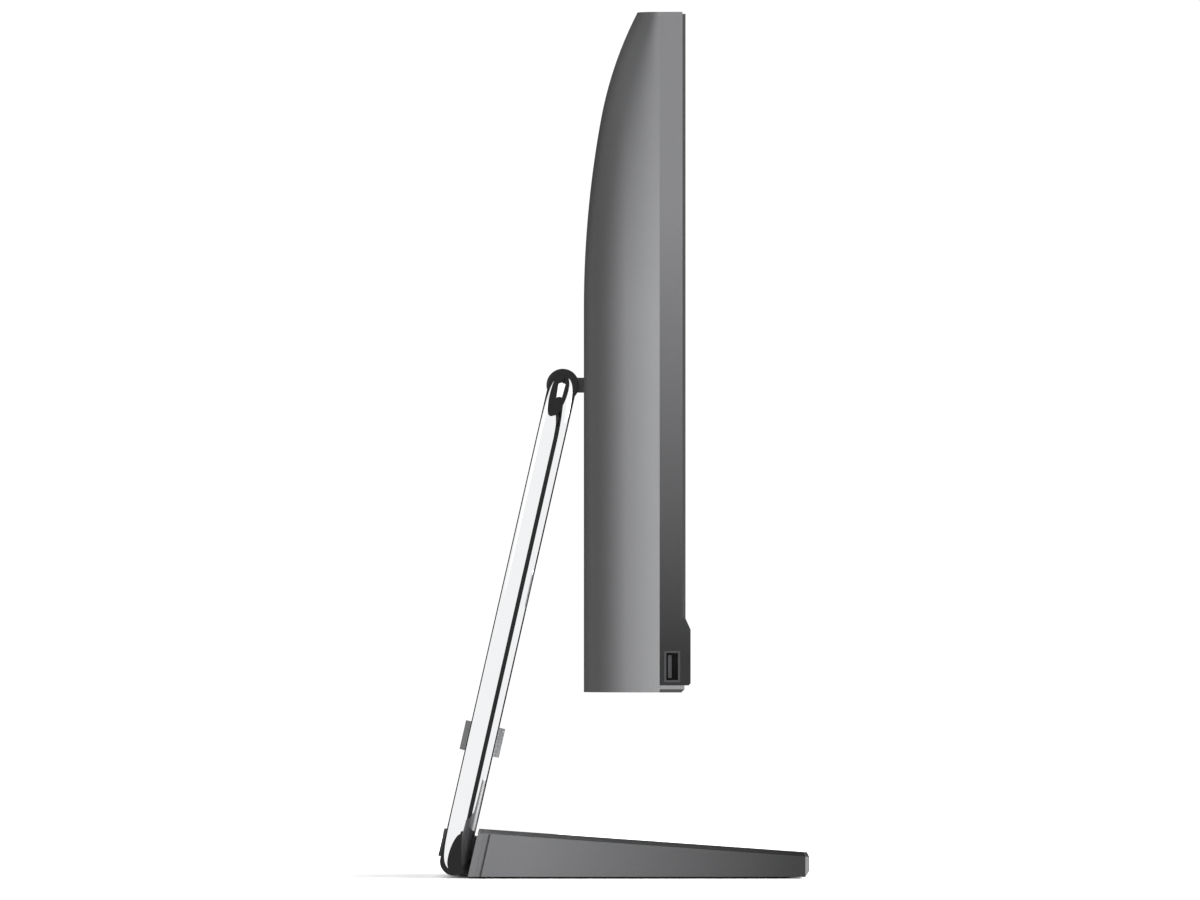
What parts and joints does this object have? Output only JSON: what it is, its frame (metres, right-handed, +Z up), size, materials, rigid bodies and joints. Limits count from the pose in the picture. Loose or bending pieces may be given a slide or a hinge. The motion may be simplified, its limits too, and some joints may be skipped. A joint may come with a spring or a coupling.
{
  "type": "all in one pc",
  "caption": "All-in-one desktop computer: slim display head with curved back and speaker bar, tilting on a closed chrome tube loop over a thin wedge base.",
  "frame": {"origin": "middle of the overall box's underside, on the surface the feet stand on", "axes": "+Z up, -Y towards the user, +X along the width"},
  "size_m": [0.54, 0.1848, 0.4292],
  "materials": {
    "cover_plastic": "satin",
    "frame_metal": "satin",
    "black_plastic": "matt",
    "dark_plastic": "satin",
    "cover_glass": "polished",
    "panel": "gloss",
    "tray_metal": "satin",
    "steel": "brushed",
    "socket_metal": "satin",
    "chrome": "polished",
    "grille": "matt",
    "board": "satin",
    "copper": "satin",
    "fins": "satin",
    "screw_metal": "satin",
    "base_metal": "satin",
    "trim_metal": "satin",
    "weight_steel": "raw",
    "clip_plastic": "satin",
    "rubber": "matt",
    "lens": "polished"
  },
  "bodies": {
    "stand": {"stand_loop": "chrome", "stop_rings": "black_plastic", "base_shell": "base_metal", "nose_trim": "trim_metal", "base_plate": "black_plastic", "base_screws": "screw_metal", "base_weight": "weight_steel", "rubber_feet": "rubber", "rear_cradle": "black_plastic", "clamp_plate": "black_plastic", "clamp_screws": "screw_metal", "cable_clip": "clip_plastic"},
    "display": {"front_glass": "cover_glass", "lcd_panel": "panel", "backlight_tray": "tray_metal", "mid_frame": "frame_metal", "rear_cover": "cover_plastic", "cover_screws": "screw_metal", "cover_posts": "dark_plastic", "chin_housing": "frame_metal", "speaker_grille": "grille", "bottom_trim": "trim_metal", "bottom_strip": "black_plastic", "side_usb_shell": "black_plastic", "side_usb_tongue": "black_plastic", "chassis_plate": "steel", "hinge_bracket": "steel", "hinge_arm": "dark_plastic", "hinge_collars": "black_plastic", "hinge_bolts": "screw_metal", "main_board": "board", "board_standoffs": "copper", "board_screws": "screw_metal", "processor": "fins", "cold_plate": "copper", "heat_pipe": "copper", "fin_stack": "fins", "blower_housing": "black_plastic", "memory_modules": "board", "storage_card": "board", "wireless_card": "board", "antennas": "black_plastic", "hard_drive": "fins", "drive_caddy": "steel", "speaker_left": "black_plastic", "speaker_right": "black_plastic", "speaker_cones": "dark_plastic", "rear_usb_sockets": "socket_metal", "network_socket": "socket_metal", "hdmi_socket": "socket_metal", "audio_jack": "black_plastic", "power_inlet": "black_plastic", "io_plate": "steel", "panel_ribbon": "clip_plastic", "camera_rails": "steel", "button_switch": "black_plastic"},
    "camera": {"camera_housing": "dark_plastic", "camera_lens": "lens"},
    "button": {"power_button": "trim_metal"},
    "rotor": {"blower_rotor": "black_plastic"}
  },
  "joints": [
    {"name": "display_tilt", "type": "hinge", "parent": "stand", "child": "display", "pos_m": [0, 0.0303, 0.2455], "axis": [-1, 0, 0], "range_deg": [-5, 25]},
    {"name": "camera_pop_up", "type": "slide", "parent": "display", "child": "camera", "axis": [0, 0, 1], "range_m": [0, 0.02]},
    {"name": "power_button_press", "type": "slide", "parent": "display", "child": "button", "axis": [0, 0, 1], "range_m": [0, 0.001], "stiffness_N_per_m": 400, "springref_m": -0.0005},
    {"name": "blower_spin", "type": "hinge", "parent": "display", "child": "rotor", "pos_m": [-0.165, -0.0147, 0.262], "axis": [0, 1, 0], "continuous": true}
  ]
}
